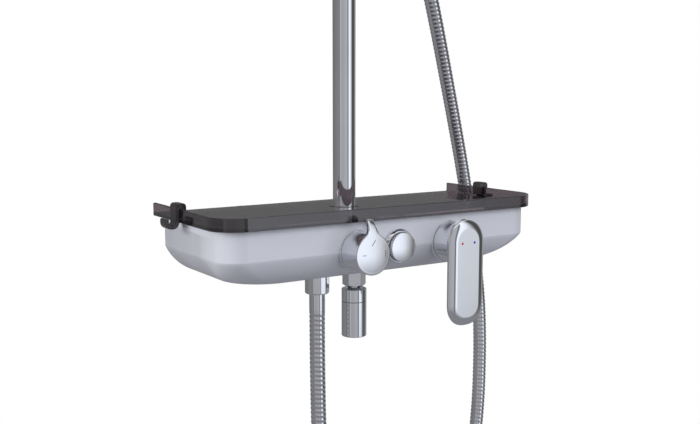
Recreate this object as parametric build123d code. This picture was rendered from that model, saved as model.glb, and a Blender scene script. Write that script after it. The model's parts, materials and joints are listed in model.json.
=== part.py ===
from build123d import *
from math import asin, cos, pi, radians, sin, sqrt, tan
import os

os.makedirs("parts", exist_ok=True)

# Frame: +X right along the wall, +Y into the wall, +Z up. The origin is midway between the two
# water inlets, on the wall plane. All lengths are in millimetres.

# Wall inlets
INLET_PITCH = 150
STUD_R = 10.48
STUD_INTO_WALL = 14
UNION_BORE_R = 7
ESCUTCHEON_R = 26.4
ESCUTCHEON_DEPTH = 9

# Shelf tray
TRAY_HALF = 175
TRAY_FRONT = -165
TRAY_BACK = -22
TRAY_CORNER_R = 27.4
RIM_TOP = 38
TRAY_BOTTOM = 26.2
TRAY_WALL = 3.4
TRAY_FLOOR = 3

# Mixer housing
BODY_HALF = 168.5
BODY_FRONT = -158.5
BODY_BACK = -32.6
BODY_CORNER_R = 22
CREASE_Z = -1
SKIN = 3
BELLY_R = 49.3
BELLY_INSET = 44.7
BELLY_RISE = 20.7
BELLY_DEPTH = BELLY_R - BELLY_RISE
BODY_BOTTOM = CREASE_Z - BELLY_DEPTH

# Cartridge sockets inside the housing
SOCKET_BACK = -110
SOCKET_FRONT = -134

# Controls, measured forward of the housing's front face
DIVERTER_X = -40.7
BUTTON_X = 5
LEVER_X = 62.3
KNOB_R = 18
KNOB_FRONT = 28.2
KNOB_DOME = 1.8
BUTTON_R = 16.4
BUTTON_CAP_R = 13.4
BUTTON_PORT_R = 13.8
BUTTON_FRONT = 10.2
BEZEL_FRONT = 4.4
BUTTON_RIBS = 36
LEVER_R = 19
LEVER_BACK = 22.3
LEVER_FRONT = 31.6
LEVER_HALF = 20.8
LEVER_TOP = 23.2
LEVER_BOTTOM = -76
LEVER_POCKET = 1.4
LIFT_PIN_D = 7
LIFT_PIN_Z = 12
SEAM_Z = -9

# Outlets under the housing and the riser above it
SPOUT_Y = -93
HOSE_X = -42
RISER_Y = -75.5
RISER_R = 11
RISER_BORE_R = 9.6
RISER_TOP = 930
FIT = 0.05
SPOUT_NUT_LOW = -46.6
SPOUT_BALL_Z = -58
SPOUT_SEAM_Z = -61.8
SPOUT_LOW = -96.6

# Hooks on the tray
HOOK_WIDTH = 13
HOOK_Y = -76.5
HOOK_TOP = 43.3
HOOK_LOW = 21
HOOK_OUTER = 188
HOOK_LEG_LOW = 30.2

# Wall bracket, slider and hand shower
BRACKET_Z = 880
BRACKET_PITCH = 36
BRACKET_STUD_R = 2.2
BRACKET_SHANK_R = 2.7
SLIDER_Z = 600
SLIDER_HALF = 23
SLIDER_TURN = 20
PIVOT_OUT = 33
CUP_OUT = 29.5
HANDSET_TILT = 12
HANDSET_HEAD_R = 50
HANDLE_TOP = 150
FACE_TILT = 18
FACE_Z = 186

# Overhead arm and rain head
ARM_BEND_R = 90
ARM_END_R = 45
ARM_LEVEL_Z = 1090
HEAD_Y = -480
HEAD_NECK_Z = 1020
HEAD_BALL_Z = 996
HEAD_SCALE = 1.15
HEAD_R = 120
HEAD_TOP_Z = 974
HEAD_FACE_Z = 965
BALL_R = 8

# Shower hose
HOSE_R = 7.5
HOSE_START_Z = -69
HOSE_NUT_LOW = -49.6
HOSE_END_BELOW_CUP = 60

# Route of the hose: down from its ferrule, round the loop, behind the shelf's right end and up
HOSE_ROUTE = [
    (-42, -93, -69),
    (-42, -93, -155),
    (-37, -92, -250),
    (-18, -88.5, -328),
    (24, -81, -385),
    (88, -71, -407),
    (150, -60, -383),
    (188, -51, -320),
    (202.6, -44, -243),
    (209, -40.5, -200),
    (212, -37, -128),
    (209, -33, -66),
    (195, -27, 34),
    (160.3, -40, 132),
    (116, -63, 231),
    (74, -80.4, 320),
    (50, -90.4, 372),
]

TAIL_ROUTE = [
    (50, -90.4, 372),
    (38, -95.4, 398),
    (20, -103, 440),
]


def ahead(distance):
    """Y of a place this far in front of the housing's front face."""
    return BODY_FRONT - distance


def rod(radius, start, end):
    """Round bar between two points."""
    line = Vector(*end) - Vector(*start)
    place = Plane(origin=start, z_dir=line.normalized())
    return place * Cylinder(radius, line.length, align=(Align.CENTER, Align.CENTER, Align.MIN))


def tube(radius, bore, start, end):
    """Round bar with a bore along its whole length."""
    return rod(radius, start, end) - rod(bore, start, end)


def block(low, high):
    """Box between two opposite corners."""
    size = Vector(*high) - Vector(*low)
    middle = (Vector(*high) + Vector(*low)) * 0.5
    return Pos(middle.X, middle.Y, middle.Z) * Box(size.X, size.Y, size.Z)


def hex_bar(across_flats, start, end):
    """Hexagonal bar between two points."""
    line = Vector(*end) - Vector(*start)
    place = Plane(origin=start, z_dir=line.normalized())
    return extrude(place * RegularPolygon(across_flats / sqrt(3), 6), line.length)


def turned(points):
    """Solid of revolution about Z from (radius, height) points."""
    outline = make_face(Plane.XZ * Polyline(*points, close=True))
    return revolve(outline, Axis.Z)


def both_sides(shape):
    """The shape and its mirror image across the YZ plane."""
    return Compound(children=[shape, mirror(shape, Plane.YZ)])


def save(shape, name):
    """Write one sub-part."""
    export_step(shape, "parts/" + name + ".step")


def front_rounded(half, front, back, radius):
    """Plan outline with its two front corners rounded."""
    plan = Pos(0, (front + back) / 2) * Rectangle(2 * half, back - front)
    corners = plan.vertices().sort_by(Axis.Y)[:2]
    return fillet(corners, radius)


# Wall inlets


def inlet_union():
    """Threaded stub from the wall to the mixer, with a sealing flange."""
    x = INLET_PITCH / 2
    stub = rod(STUD_R, (x, STUD_INTO_WALL, 0), (x, -25, 0))
    stub += rod(12.4, (x, -25, 0), (x, -28, 0))
    return stub - rod(UNION_BORE_R, (x, STUD_INTO_WALL + 1, 0), (x, -29, 0))


def escutcheon():
    """Domed wall plate round an inlet stub."""
    x = INLET_PITCH / 2
    plate = turned(
        [(STUD_R + 0.3, 0), (ESCUTCHEON_R, 0), (ESCUTCHEON_R, 2.5), (21.8, ESCUTCHEON_DEPTH),
         (STUD_R + 0.3, ESCUTCHEON_DEPTH)]
    )
    hollow = turned([(0, 1.5), (22.2, 1.5), (19.8, ESCUTCHEON_DEPTH - 1.5), (0, ESCUTCHEON_DEPTH - 1.5)])
    hollow -= rod(STUD_R + 2, (0, 0, 0), (0, 0, ESCUTCHEON_DEPTH))
    return Pos(x, 0, 0) * Rot(90, 0, 0) * (plate - hollow)


def union_nut():
    """Hexagonal nut that pulls the stub's flange onto the valve."""
    x = INLET_PITCH / 2
    nut = hex_bar(30, (x, -22, 0), (x, -40, 0))
    nut -= rod(12.6, (x, -25, 0), (x, -41, 0))
    return nut - rod(STUD_R + 0.3, (x, -21, 0), (x, -26, 0))


# Mixer housing


def housing_volume(gap):
    """Outer form of the housing, drawn in by a gap on every side but the open back."""
    half = BODY_HALF - gap
    front = BODY_FRONT + gap
    top = extrude(
        Pos(0, 0, CREASE_Z) * front_rounded(half, front, BODY_BACK, BODY_CORNER_R),
        TRAY_BOTTOM - gap - CREASE_Z,
    )
    start = asin(BELLY_RISE / BELLY_R)
    sections = []
    for step in range(7):
        angle = start + (pi / 2 - start) * step / 6
        inset = BELLY_INSET - BELLY_R * cos(angle)
        depth = (BELLY_R * sin(angle) - BELLY_RISE) * (BELLY_DEPTH - gap) / BELLY_DEPTH
        corner = BODY_CORNER_R + 0.5 * inset
        outline = front_rounded(half - inset, front + inset, BODY_BACK, corner)
        sections.append(Pos(0, 0, CREASE_Z - depth) * outline)
    return top + loft(sections)


def screw_places():
    """The four places, along the back of the housing, of its cover screws."""
    return [(x, 19) for x in (-140, -40, 40, 140)]


def body_shell():
    """White moulded housing, open at the back, with its ports."""
    shell = housing_volume(0) - housing_volume(SKIN)
    for x, z in screw_places():
        boss = rod(4.5, (x, -60, z), (x, -36.6, z)) & housing_volume(0)
        shell += boss - rod(1.5, (x, -50, z), (x, -36, z))
    for x, radius in ((DIVERTER_X, 14), (BUTTON_X, BUTTON_PORT_R), (LEVER_X, 15)):
        shell -= rod(radius, (x, ahead(1), 0), (x, ahead(-20), 0))
    for x in (0, HOSE_X):
        shell -= rod(9.6, (x, SPOUT_Y, BODY_BOTTOM - 1), (x, SPOUT_Y, BODY_BOTTOM + 8))
    return shell - rod(14.4, (0, RISER_Y, 18), (0, RISER_Y, 30))


def back_plate():
    """Cover that closes the back of the housing round the two inlets."""
    slab = block((-200, -36.6, -60), (200, BODY_BACK, 60))
    plate = housing_volume(SKIN + 0.2) & slab
    for side in (-1, 1):
        x = side * INLET_PITCH / 2
        plate -= rod(18, (x, -40, 0), (x, -30, 0))
    for x, z in screw_places():
        plate -= rod(1.8, (x, -40, z), (x, -30, z))
    return plate


def cover_screws():
    """Pan-head screws that hold the back plate to the housing."""
    screws = []
    for x, z in screw_places():
        screw = rod(3.2, (x, BODY_BACK, z), (x, BODY_BACK + 2, z))
        screw += rod(1.45, (x, BODY_BACK, z), (x, -48, z))
        screw -= block((x - 2.4, BODY_BACK + 1, z - 0.4), (x + 2.4, BODY_BACK + 3, z + 0.4))
        screws.append(screw)
    return Compound(children=screws)


def valve_block():
    """Brass casting: inlets, cartridge sockets, riser socket and two outlets."""
    casting = rod(14, (-90, SPOUT_Y, 0), (90, SPOUT_Y, 0))
    for side in (-1, 1):
        x = side * INLET_PITCH / 2
        casting += rod(12.4, (x, -30, 0), (x, SPOUT_Y, 0))
    casting += rod(16.5, (0, RISER_Y, 0), (0, RISER_Y, 22.5))
    casting += rod(9.5, (HOSE_X, SPOUT_Y, 0), (HOSE_X, SPOUT_Y, BODY_BOTTOM - 10))
    casting += rod(7.5, (0, SPOUT_Y, 0), (0, SPOUT_Y, BODY_BOTTOM - 8))
    sockets = ((DIVERTER_X, 18.1, 15.2), (BUTTON_X, 14.1, 11.2), (LEVER_X, 20.6, 17.7))
    for x, radius, bore in sockets:
        casting += rod(radius, (x, SPOUT_Y - 5, 0), (x, SOCKET_FRONT, 0))
    for x, radius, bore in sockets:
        casting -= rod(bore, (x, SOCKET_BACK, 0), (x, SOCKET_FRONT - 1, 0))
        casting -= rod(5.2, (x, SPOUT_Y, 0), (x, SOCKET_BACK - 1, 0))
    casting -= rod(8.9, (-82, SPOUT_Y, 0), (82, SPOUT_Y, 0))
    for side in (-1, 1):
        x = side * INLET_PITCH / 2
        casting -= rod(UNION_BORE_R, (x, -29, 0), (x, SPOUT_Y + 3, 0))
    casting -= rod(4.8, (0, SPOUT_Y, 0), (0, SPOUT_Y, BODY_BOTTOM - 9))
    casting -= rod(5.4, (HOSE_X, SPOUT_Y, 0), (HOSE_X, SPOUT_Y, BODY_BOTTOM - 11))
    casting -= rod(13.5, (0, RISER_Y, 14), (0, RISER_Y, 16.5))
    return casting - rod(RISER_R + FIT, (0, RISER_Y, 5), (0, RISER_Y, 23))


def shelf_tray():
    """Smoked shelf that caps the housing, with a raised rim and an open back."""
    tray = extrude(
        Pos(0, 0, TRAY_BOTTOM) * front_rounded(TRAY_HALF, TRAY_FRONT, TRAY_BACK, TRAY_CORNER_R),
        RIM_TOP - TRAY_BOTTOM,
    )
    floor_z = TRAY_BOTTOM + TRAY_FLOOR
    recess = extrude(
        Pos(0, 0, floor_z)
        * front_rounded(
            TRAY_HALF - TRAY_WALL, TRAY_FRONT + TRAY_WALL, TRAY_BACK + 5, TRAY_CORNER_R - TRAY_WALL
        ),
        RIM_TOP,
    )
    tray -= recess
    rim_edges = tray.edges().filter_by(lambda e: e.center().Z > RIM_TOP - 0.1)
    tray = fillet(rim_edges, 0.7)
    return tray - rod(14.4, (0, RISER_Y, 20), (0, RISER_Y, 40))


# Hooks on the tray's end walls


def hook():
    """Saddle that rides on an end wall of the tray, with an upturned hook outside it."""
    reach = HOOK_WIDTH / 2
    inner = TRAY_HALF - TRAY_WALL - 0.3
    outer = TRAY_HALF + 0.3
    leg = 3.2
    saddle = block((inner - 2.7, -reach, HOOK_LEG_LOW), (outer + leg, reach, HOOK_TOP))
    long_edges = saddle.edges().filter_by(Axis.Y).group_by(Axis.Z)[-1]
    saddle = fillet(long_edges, 3)
    saddle -= block((inner, -20, HOOK_LEG_LOW - 2), (outer, 20, RIM_TOP + 0.3))
    curl = block((outer, -reach, HOOK_LOW), (HOOK_OUTER, reach, HOOK_LEG_LOW))
    low_edges = curl.edges().filter_by(Axis.Y).group_by(Axis.Z)[0]
    curl = fillet(low_edges, 5.5)
    gap = block((outer + leg, -20, HOOK_LOW + leg), (HOOK_OUTER - leg, 20, 50))
    gap_edges = gap.edges().filter_by(Axis.Y).group_by(Axis.Z)[0]
    curl -= fillet(gap_edges, 3)
    return Pos(0, HOOK_Y, 0) * (saddle + curl)


def hook_right():
    """Hook on the tray's right end."""
    return hook()


def hook_left():
    """Hook on the tray's left end."""
    return mirror(hook(), Plane.YZ)


# Diverter


def collar(radius, bore, x, front):
    """Fixed ring that stands on the housing's front and follows its belly."""
    return tube(radius, bore, (x, ahead(-18), 0), (x, ahead(front), 0)) - housing_volume(0)


def diverter_base():
    """Fixed chrome collar behind the diverter knob."""
    return collar(KNOB_R + 0.5, 13, DIVERTER_X, 2.4)


def diverter_cartridge():
    """Ceramic diverter insert with a bore for the knob's stem."""
    insert = rod(15.1, (DIVERTER_X, SOCKET_BACK, 0), (DIVERTER_X, SOCKET_FRONT, 0))
    insert += rod(8.6, (DIVERTER_X, SOCKET_FRONT, 0), (DIVERTER_X, ahead(1), 0))
    return insert - rod(4 + FIT, (DIVERTER_X, -125, 0), (DIVERTER_X, ahead(2), 0))


def diverter_knob():
    """Round knob with a domed face and a thumb tab at the top."""
    flat = KNOB_FRONT - KNOB_DOME
    knob = rod(KNOB_R, (0, -2.8, 0), (0, -flat, 0))
    dome_r = (KNOB_R**2 + KNOB_DOME**2) / (2 * KNOB_DOME)
    dome = Pos(0, -KNOB_FRONT + dome_r, 0) * Sphere(dome_r)
    knob += rod(KNOB_R, (0, -flat, 0), (0, -KNOB_FRONT, 0)) & dome
    side = Plane.YZ * Polyline(
        (-flat, 5), (-flat, 19), (-24.8, 31), (-18.4, 30.6), (-14, 18), (-8, 12), (-8, 5), close=True
    )
    tab = extrude(make_face(side), 3.4, both=True)
    flare = Plane.XZ * Polyline((-12.8, 12), (-4.4, 20), (4.4, 20), (12.8, 12), close=True)
    shoulder = extrude(make_face(flare), 6)
    shoulder = Pos(0, -flat + 6, 0) * shoulder
    tab = fillet(tab.edges().filter_by(Axis.X).group_by(Axis.Z)[-1], 1.2)
    knob += tab + shoulder
    knob -= tube(14.5, 9.2, (0, -2, 0), (0, -9, 0))
    knob += rod(4, (0, 32, 0), (0, -4, 0))
    return Pos(DIVERTER_X, BODY_FRONT, 0) * knob


# Push button


def button_bezel():
    """Chrome ring round the push button."""
    return collar(BUTTON_R, BUTTON_PORT_R, BUTTON_X, BEZEL_FRONT)


def button_valve():
    """On-off valve insert behind the push button."""
    insert = rod(11.1, (BUTTON_X, SOCKET_BACK, 0), (BUTTON_X, ahead(-6), 0))
    insert -= rod(7, (BUTTON_X, ahead(-20), 0), (BUTTON_X, ahead(-5), 0))
    return insert - rod(2.5 + FIT, (BUTTON_X, -118, 0), (BUTTON_X, ahead(-15), 0))


def button_spring():
    """Return spring between the valve insert and the button."""
    turns = Helix(2.6, 13, 5.2, center=(0, 0, 0))
    wire = Plane(origin=turns @ 0, z_dir=turns % 0) * Circle(0.55)
    coil = sweep(wire, path=turns)
    return Pos(BUTTON_X, ahead(-19.2), 0) * Rot(90, 0, 0) * coil


def button_cap():
    """Domed push button with a ribbed edge, on the stem that works its valve."""
    rise = 2.4
    dome_r = (BUTTON_CAP_R**2 + rise**2) / (2 * rise)
    cap = rod(BUTTON_CAP_R, (0, 0, 0), (0, -BUTTON_FRONT, 0))
    cap &= Pos(0, -BUTTON_FRONT + dome_r, 0) * Sphere(dome_r)
    rib_x = BUTTON_CAP_R + 0.05
    for rib in range(BUTTON_RIBS):
        cap -= Rot(0, rib * 360 / BUTTON_RIBS, 0) * rod(0.45, (rib_x, -3.5, 0), (rib_x, -7.2, 0))
    cap += rod(2.5, (0, 37, 0), (0, -1, 0)) + rod(6.6, (0, 5, 0), (0, 3, 0))
    return Pos(BUTTON_X, BODY_FRONT, 0) * cap


# Temperature and flow lever


def lever_base():
    """Fixed chrome collar behind the lever."""
    return collar(LEVER_R + 0.6, 14, LEVER_X, 2.6)


def lever_cartridge():
    """Ceramic mixing cartridge."""
    insert = rod(17.6, (LEVER_X, SOCKET_BACK, 0), (LEVER_X, SOCKET_FRONT + 4, 0))
    insert += rod(10, (LEVER_X, SOCKET_FRONT + 4, 0), (LEVER_X, ahead(1.5), 0))
    return insert - rod(5 + FIT, (LEVER_X, ahead(-27), 0), (LEVER_X, ahead(3), 0))


def cartridge_nut():
    """Brass ring that holds the cartridge in its socket."""
    return tube(17.6, 10.2, (LEVER_X, SOCKET_FRONT + 4, 0), (LEVER_X, SOCKET_FRONT, 0))


def lever_yoke():
    """Cartridge spindle, with the turning lower half of the hub and the lift pin's block."""
    disc = rod(LEVER_R - 0.2, (0, -3, 0), (0, -5, 0)) + rod(5, (0, 24, 0), (0, -4, 0))
    lower = rod(LEVER_R, (0, -5, 0), (0, -LEVER_BACK + 0.4, 0))
    lower &= block((-30, -40, -30), (30, 10, SEAM_Z - 0.4))
    mast = block((-5, -13, SEAM_Z - 2), (5, -5, LIFT_PIN_Z))
    mast += rod(4, (-5, -LIFT_PIN_D - 2, LIFT_PIN_Z), (5, -LIFT_PIN_D - 2, LIFT_PIN_Z)) & block(
        (-5, -13, 0), (5, -5, 30)
    )
    yoke = disc + lower + mast
    yoke -= rod(1.5, (-10, -LIFT_PIN_D, LIFT_PIN_Z), (10, -LIFT_PIN_D, LIFT_PIN_Z))
    return Pos(LEVER_X, BODY_FRONT, 0) * yoke


def lift_pin():
    """Cross pin that the lever lifts on."""
    y = ahead(LIFT_PIN_D)
    return rod(1.5, (LEVER_X - 9, y, LIFT_PIN_Z), (LEVER_X + 9, y, LIFT_PIN_Z))


def stadium(half, low, high):
    """Upright outline with round ends, in the XZ plane."""
    middle = (low + high) / 2
    return Pos(0, middle) * SlotOverall(high - low, 2 * half, rotation=90)


def lever_handle():
    """Hanging lever: hub over the yoke and a thick round-ended plate."""
    hub = rod(LEVER_R, (0, -5.3, 0), (0, -LEVER_BACK - 1, 0))
    hub &= block((-30, -40, SEAM_Z), (30, 10, 30))
    slope = Plane.YZ * Polyline((-5.2, LIFT_PIN_Z), (-8.8, 19.5), (0, 25), (0, LIFT_PIN_Z), close=True)
    hub -= extrude(make_face(slope), 30, both=True)
    hub -= block((-5.5, -18, SEAM_Z - 1), (5.5, -4, LIFT_PIN_Z))
    hub -= rod(5, (-5.5, -LIFT_PIN_D - 2, LIFT_PIN_Z), (5.5, -LIFT_PIN_D - 2, LIFT_PIN_Z))
    y = -LIFT_PIN_D
    hub -= rod(1.5 + FIT, (-9.3, y, LIFT_PIN_Z), (9.3, y, LIFT_PIN_Z))
    outline = Plane.XZ * stadium(LEVER_HALF, LEVER_BOTTOM, LEVER_TOP)
    plate = Pos(0, -LEVER_BACK, 0) * extrude(outline, LEVER_FRONT - LEVER_BACK)
    plate = chamfer(plate.edges().group_by(Axis.Y)[0], 1.6)
    outline = Plane.XZ * stadium(13.2, LEVER_BOTTOM + 8, LEVER_TOP - 7.2)
    pocket = Pos(0, -LEVER_FRONT + LEVER_POCKET, 0) * extrude(outline, 5)
    return Pos(LEVER_X, BODY_FRONT, 0) * (hub + plate - pocket)


# Ball joints


def ball_stud(neck_top, centre_z, scale):
    """Neck and ball of a swivel joint, with a waterway through it."""
    ball = Pos(0, 0, centre_z) * Sphere(BALL_R * scale)
    neck = rod(5.3 * scale, (0, 0, centre_z), (0, 0, neck_top))
    return ball + neck - rod(3, (0, 0, centre_z - 20), (0, 0, neck_top + 1))


def slip_ring(centre_z, scale):
    """Plastic ring round the neck that turns with the swivel."""
    low = centre_z + 7 * scale
    return tube(6.2 * scale, 5.3 * scale + FIT, (0, 0, low), (0, 0, low + 2 * scale))


def ball_cap(radius, centre_z, low, scale):
    """Socket that holds the ball and flares open above it."""
    high = centre_z + 8.5 * scale
    cap = rod(radius, (0, 0, low), (0, 0, high))
    cap = fillet(cap.edges().group_by(Axis.Z)[-1], 1)
    cap -= Pos(0, 0, centre_z) * Sphere(BALL_R * scale + FIT)
    mouth = 10.9 * scale
    throat = (7.25 * scale, centre_z + 3.5 * scale)
    cap -= turned([(0, centre_z), throat, (mouth, high), (mouth, high + 2), (0, high + 2)])
    return cap - rod(5 * scale, (0, 0, low - 1), (0, 0, centre_z))


# Swivel spout


def at_spout(shape):
    """Move a shape from the Z axis to the spout's axis."""
    return Pos(0, SPOUT_Y, 0) * shape


def spout_adaptor():
    """Hexagonal adaptor under the housing, with the neck and ball of the swivel."""
    nut = hex_bar(20, (0, 0, BODY_BOTTOM), (0, 0, SPOUT_NUT_LOW))
    bevel = turned([(0, BODY_BOTTOM + 1), (14, BODY_BOTTOM + 1), (14, SPOUT_NUT_LOW + 3), (9.6, SPOUT_NUT_LOW),
                    (0, SPOUT_NUT_LOW)])
    nut = nut & bevel
    nut -= rod(10.05, (0, 0, BODY_BOTTOM + 1), (0, 0, BODY_BOTTOM - 0.6))
    nut -= rod(7.6, (0, 0, BODY_BOTTOM), (0, 0, BODY_BOTTOM - 8.2))
    nut += ball_stud(SPOUT_NUT_LOW + 2, SPOUT_BALL_Z, 1)
    return at_spout(nut - rod(3, (0, 0, BODY_BOTTOM), (0, 0, SPOUT_BALL_Z - 20)))


def spout_slip_ring():
    """Plastic ring that turns with the spout."""
    return at_spout(slip_ring(SPOUT_BALL_Z, 1))


def aerator_sleeve():
    """Lower sleeve of the spout, screwed into the socket."""
    sleeve = rod(12.1, (0, 0, SPOUT_SEAM_Z - 0.6), (0, 0, SPOUT_LOW))
    sleeve = fillet(sleeve.edges().group_by(Axis.Z)[0], 0.8)
    return at_spout(sleeve - rod(10.4, (0, 0, SPOUT_SEAM_Z), (0, 0, SPOUT_LOW - 1)))


def aerator_insert():
    """Perforated stream former inside the sleeve."""
    insert = rod(10.3, (0, 0, SPOUT_LOW + 1.5), (0, 0, SPOUT_LOW + 12))
    for ring, count in ((3.2, 6), (6.8, 12)):
        for hole in range(count):
            angle = 2 * pi * hole / count
            x = ring * cos(angle)
            y = ring * sin(angle)
            insert -= rod(0.9, (x, y, SPOUT_LOW), (x, y, SPOUT_LOW + 14))
    return at_spout(insert)


def spout_cap():
    """Upper half of the spout: the socket on its ball, with a thread for the sleeve."""
    cap = ball_cap(12.1, SPOUT_BALL_Z, SPOUT_SEAM_Z, 1)
    collar = tube(10.3, 8.4, (0, 0, SPOUT_SEAM_Z), (0, 0, SPOUT_SEAM_Z - 5))
    return at_spout(cap + collar)


# Hose ends under the housing


def hose_nut():
    """Faceted nut that holds the hose to its outlet."""
    low = HOSE_NUT_LOW
    nut = extrude(Pos(0, 0, low) * RegularPolygon(11.9, 12), BODY_BOTTOM - low)
    nut -= rod(9.6, (0, 0, BODY_BOTTOM - 11), (0, 0, BODY_BOTTOM + 1))
    nut -= rod(10.05, (0, 0, BODY_BOTTOM - 0.6), (0, 0, BODY_BOTTOM + 1))
    bevel = turned([(0, BODY_BOTTOM + 1), (14, BODY_BOTTOM + 1), (14, low + 3), (10.4, low), (0, low)])
    nut = nut & bevel
    nut -= rod(9.6, (0, 0, -43), (0, 0, BODY_BOTTOM))
    return Pos(HOSE_X, SPOUT_Y, 0) * (nut - rod(HOSE_R + 0.1, (0, 0, low - 1), (0, 0, -40)))


def hose_ferrule():
    """Smooth sleeve crimped over the lower end of the hose."""
    sleeve = rod(HOSE_R, (0, 0, HOSE_START_Z), (0, 0, -43))
    sleeve += rod(9.3, (0, 0, -43), (0, 0, -41))
    return Pos(HOSE_X, SPOUT_Y, 0) * (sleeve - rod(4, (0, 0, HOSE_START_Z - 1), (0, 0, -40)))


# Riser and wall bracket


def riser_pipe():
    """Straight chrome riser from the valve to the arm."""
    return tube(RISER_R, RISER_BORE_R, (0, RISER_Y, 5), (0, RISER_Y, RISER_TOP))


def rubber_seals():
    """Rubber rings of the fixed water joints: two inlets, hose outlet, riser foot and arm."""
    inlet_x = INLET_PITCH / 2
    rings = [tube(12.3, UNION_BORE_R + 1, (x, -28, 0), (x, -30, 0)) for x in (-inlet_x, inlet_x)]
    rings.append(tube(9.2, 5.6, (HOSE_X, SPOUT_Y, -41), (HOSE_X, SPOUT_Y, BODY_BOTTOM - 10)))
    rings.append(tube(13.4, RISER_R + FIT, (0, RISER_Y, 14.2), (0, RISER_Y, 16.3)))
    rings.append(tube(12.8, 9.8, (0, RISER_Y, RISER_TOP), (0, RISER_Y, 932)))
    return Compound(children=rings)


def riser_grommet():
    """Rubber collar where the riser passes through the shelf."""
    floor_z = TRAY_BOTTOM + TRAY_FLOOR
    collar = tube(14.3, RISER_R + FIT, (0, RISER_Y, 23.2), (0, RISER_Y, floor_z))
    return collar + tube(15.6, RISER_R + FIT, (0, RISER_Y, floor_z), (0, RISER_Y, floor_z + 1.4))


def bracket_flange():
    """Round wall plate of the upper bracket."""
    flange = turned([(9.05, 0), (27.5, 0), (27.5, 3), (25.5, 6), (9.05, 6)])
    flange = Pos(0, 0, BRACKET_Z) * Rot(90, 0, 0) * flange
    for side in (-1, 1):
        x = side * BRACKET_PITCH / 2
        flange -= rod(BRACKET_SHANK_R + FIT, (x, 1, BRACKET_Z), (x, -7, BRACKET_Z))
    return flange


def bracket_screws():
    """Wall screws of the upper bracket."""
    screws = []
    for side in (-1, 1):
        x = side * BRACKET_PITCH / 2
        screw = rod(BRACKET_STUD_R, (x, 24, BRACKET_Z), (x, 0, BRACKET_Z))
        screw += rod(BRACKET_SHANK_R, (x, 0, BRACKET_Z), (x, -6, BRACKET_Z))
        screws.append(screw + rod(4, (x, -6, BRACKET_Z), (x, -8, BRACKET_Z)))
    return Compound(children=screws)


def bracket_cover():
    """Cap over the bracket's screws."""
    cover = turned([(9.05, 6), (9.05, 12), (22, 12), (29, 9), (29, 0), (27.6, 0), (27.6, 8.2), (20, 10.5),
                    (11, 10.5), (11, 6)])
    return Pos(0, 0, BRACKET_Z) * Rot(90, 0, 0) * cover


def bracket_arm():
    """Stand-off from the wall with a ring round the riser."""
    arm = rod(9, (0, 0, BRACKET_Z), (0, RISER_Y, BRACKET_Z))
    arm += rod(16.5, (0, RISER_Y, BRACKET_Z - 13), (0, RISER_Y, BRACKET_Z + 13))
    return arm - rod(RISER_R + FIT, (0, RISER_Y, BRACKET_Z - 20), (0, RISER_Y, BRACKET_Z + 20))


# Slider and holder


def at_slider(shape):
    """Move a shape from the origin to the slider, turned to the right on the riser."""
    return Pos(0, RISER_Y, SLIDER_Z) * Rot(0, 0, SLIDER_TURN) * shape


def slider_body():
    """Chrome carriage on the riser, with a boss for its lock knob and a tongue for the cup."""
    body = rod(19, (0, 0, -SLIDER_HALF), (0, 0, SLIDER_HALF))
    body = fillet(body.edges(), 2)
    body += rod(11, (-27, 0, 0), (0, 0, 0))
    tongue = block((-6, -PIVOT_OUT, -9), (6, 0, 9)) + rod(9, (-6, -PIVOT_OUT, 0), (6, -PIVOT_OUT, 0))
    body += tongue - rod(3 + FIT, (-7, -PIVOT_OUT, 0), (7, -PIVOT_OUT, 0))
    body -= rod(13.6, (0, 0, -30), (0, 0, 30))
    return at_slider(body - rod(4 + FIT, (-31, 0, 0), (-10, 0, 0)))


def slider_bush():
    """Plastic sleeve that runs on the riser."""
    return at_slider(tube(13.55, RISER_R + FIT, (0, 0, -SLIDER_HALF + 1), (0, 0, SLIDER_HALF - 1)))


def slider_knob():
    """Lock knob whose stem presses on the sleeve."""
    knob = rod(14.5, (-27.4, 0, 0), (-43, 0, 0))
    knob = fillet(knob.edges().group_by(Axis.X)[0], 2.5)
    for flute in range(12):
        angle = 2 * pi * flute / 12
        y = 15.6 * cos(angle)
        z = 15.6 * sin(angle)
        knob -= rod(2, (-45, y, z), (-30, y, z))
    return at_slider(knob + rod(4, (-28, 0, 0), (-14.2, 0, 0)))


def on_pivot(shape):
    """Lean a shape made round the cup's pivot forward, and move it to the slider."""
    return at_slider(Pos(0, -PIVOT_OUT, 0) * Rot(HANDSET_TILT, 0, 0) * shape)


def in_cup(shape):
    """Place a shape made round the cup's own axis."""
    return on_pivot(Pos(0, -CUP_OUT, 0) * shape)


def holder_cup():
    """Forked cup that holds the hand shower, with two ears on the slider's tongue."""
    ears = block((-11.5, 0, -8), (11.5, CUP_OUT, 8)) + rod(8, (-11.5, CUP_OUT, 0), (11.5, CUP_OUT, 0))
    ears -= block((-6.3, CUP_OUT - 9.6, -10), (6.3, CUP_OUT + 10, 10))
    cup = rod(19, (0, 0, -17), (0, 0, 17))
    cup = fillet(cup.edges(), 1.5) + ears
    cup -= turned([(0, -18), (13.4, -18), (15.6, 18), (0, 18)])
    cup -= block((-8.6, -30, -20), (8.6, 0, 20))
    return in_cup(cup - rod(3, (-12, CUP_OUT, 0), (12, CUP_OUT, 0)))


def holder_pin():
    """Cross pin of the holder's tilt."""
    return on_pivot(rod(3, (-11.5, 0, 0), (11.5, 0, 0)))


def cup_liner():
    """Plastic liner of the cup, with the same front slot."""
    liner = turned([(12, -16.5), (13.4, -16.5), (15.4, 16.5), (14, 16.5)])
    return in_cup(liner - block((-8.6, -30, -20), (8.6, 0, 20)))


def hose_cone():
    """Conical nut on the upper end of the hose, below the cup."""
    cone = turned([(0, -44), (8.8, -44), (11.3, -23), (11.3, -19.5), (0, -19.5)])
    cone -= rod(HOSE_R + 0.05, (0, 0, -45), (0, 0, -36))
    return in_cup(cone - rod(8.6, (0, 0, -36), (0, 0, -19)))


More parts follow.
